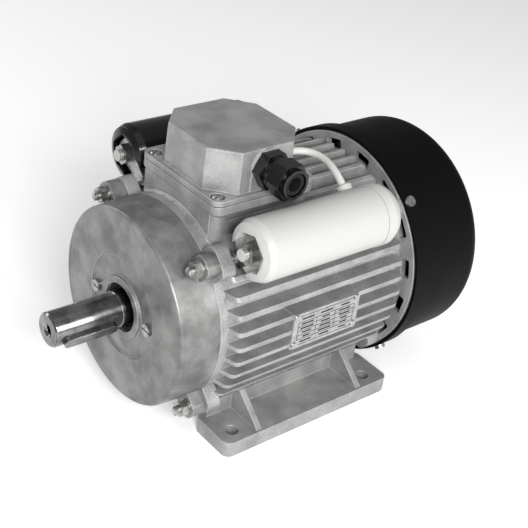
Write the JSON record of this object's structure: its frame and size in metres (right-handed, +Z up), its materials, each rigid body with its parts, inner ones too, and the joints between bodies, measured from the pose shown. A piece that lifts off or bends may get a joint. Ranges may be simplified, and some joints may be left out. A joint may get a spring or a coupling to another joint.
{
  "type": "single-phase electric motor",
  "caption": "Foot-mounted single-phase induction motor of frame size 90L, with a finned aluminium housing, a terminal box and gland on top, two capacitors on its shoulders and a black fan cowl.",
  "frame": {"origin": "centre of the four foot holes, on the plane the feet stand on", "axes": "+X along the shaft from the drive end to the fan end, +Y towards the start capacitor, +Z up"},
  "size_m": [0.3235, 0.1924, 0.209],
  "materials": {
    "cast_aluminium": "as cast, fine sand texture",
    "turned_aluminium": "turned",
    "zinc_steel": "zinc plated",
    "ground_steel": "ground",
    "bearing_steel": "ground",
    "electrical_steel": "stamped, stacked",
    "cage_aluminium": "pressure cast",
    "copper_wire": "enamelled",
    "brass": "turned",
    "black_sheet": "black powder coat",
    "white_plastic": "moulded",
    "black_plastic": "moulded",
    "brown_phenolic": "moulded",
    "white_cord": "extruded jacket",
    "black_rubber": "moulded",
    "plate_aluminium": "anodised"
  },
  "bodies": {
    "base": {"auxiliary_winding": "copper_wire", "bearing_cap_screws": "zinc_steel", "cowl_screws": "zinc_steel", "earth_screw": "brass", "fan_cowl": "black_sheet", "front_bearing_cap": "cast_aluminium", "front_bearing_outer_ring": "bearing_steel", "front_end_shield": "turned_aluminium", "front_rod_nuts": "zinc_steel", "gland_body": "black_plastic", "gland_nut": "black_plastic", "gland_seal": "black_rubber", "housing": "cast_aluminium", "lead_grommets": "black_rubber", "lid_gasket": "black_rubber", "lid_screws": "zinc_steel", "main_winding": "copper_wire", "nameplate": "plate_aluminium", "nameplate_rivets": "plate_aluminium", "rear_bearing_outer_ring": "bearing_steel", "rear_end_shield": "cast_aluminium", "rear_rod_nuts": "zinc_steel", "rear_wave_spring": "zinc_steel", "run_capacitor": "white_plastic", "run_capacitor_cover": "white_plastic", "run_capacitor_end_cap": "white_plastic", "run_capacitor_nut": "zinc_steel", "run_capacitor_tab": "zinc_steel", "run_lead": "white_cord", "shaft_seal": "black_rubber", "start_capacitor": "white_plastic", "start_capacitor_cover": "black_plastic", "start_capacitor_end_cap": "black_plastic", "start_capacitor_nut": "zinc_steel", "start_capacitor_tab": "zinc_steel", "start_lead": "white_cord", "stator_core": "electrical_steel", "switch_plate": "brown_phenolic", "terminal_board": "brown_phenolic", "terminal_box_lid": "cast_aluminium", "terminal_links": "brass", "terminal_studs": "brass", "tie_rods": "zinc_steel"},
    "rotor": {"shaft": "ground_steel", "shaft_key": "ground_steel", "rotor_core": "electrical_steel", "rotor_cage": "cage_aluminium", "front_bearing_inner_ring": "bearing_steel", "rear_bearing_inner_ring": "bearing_steel", "fan": "black_plastic", "fan_circlip": "zinc_steel", "governor_hub": "zinc_steel", "governor_spring": "zinc_steel"},
    "front_balls": {"front_bearing_balls": "bearing_steel"},
    "rear_balls": {"rear_bearing_balls": "bearing_steel"},
    "collar": {"governor_collar": "black_plastic"},
    "weight_a": {"governor_weight_a": "zinc_steel"},
    "weight_b": {"governor_weight_b": "zinc_steel"},
    "contact": {"contact_arm": "brass"}
  },
  "joints": [
    {"name": "rotor_spin", "type": "hinge", "parent": "base", "child": "rotor", "pos_m": [0, 0, 0.09], "axis": [1, 0, 0], "continuous": true},
    {"name": "front_balls_spin", "type": "hinge", "parent": "base", "child": "front_balls", "pos_m": [0, 0, 0.09], "axis": [1, 0, 0], "continuous": true},
    {"name": "rear_balls_spin", "type": "hinge", "parent": "base", "child": "rear_balls", "pos_m": [0, 0, 0.09], "axis": [1, 0, 0], "continuous": true},
    {"name": "governor_slide", "type": "slide", "parent": "rotor", "child": "collar", "axis": [1, 0, 0], "range_m": [0, 0.0028]},
    {"name": "governor_weight_a_swing", "type": "hinge", "parent": "rotor", "child": "weight_a", "pos_m": [-0.068, 0, 0.117], "axis": [0, -1, 0], "range_deg": [0, 20.1]},
    {"name": "governor_weight_b_swing", "type": "hinge", "parent": "rotor", "child": "weight_b", "pos_m": [-0.068, 0, 0.063], "axis": [0, 1, 0], "range_deg": [0, 20.1]},
    {"name": "contact_arm_swing", "type": "hinge", "parent": "base", "child": "contact", "pos_m": [-0.077, 0.03, 0.09], "axis": [0, 0, 1], "range_deg": [0, 2.6]}
  ],
  "couplings": [
    {"joint": "front_balls_spin", "follows": "rotor_spin", "ratio": 0.3969},
    {"joint": "rear_balls_spin", "follows": "rotor_spin", "ratio": 0.3969},
    {"joint": "governor_weight_a_swing", "follows": "governor_slide", "rad_per_m": 124.7},
    {"joint": "governor_weight_b_swing", "follows": "governor_slide", "rad_per_m": 124.7},
    {"joint": "contact_arm_swing", "follows": "governor_slide", "rad_per_m": 15.6}
  ]
}
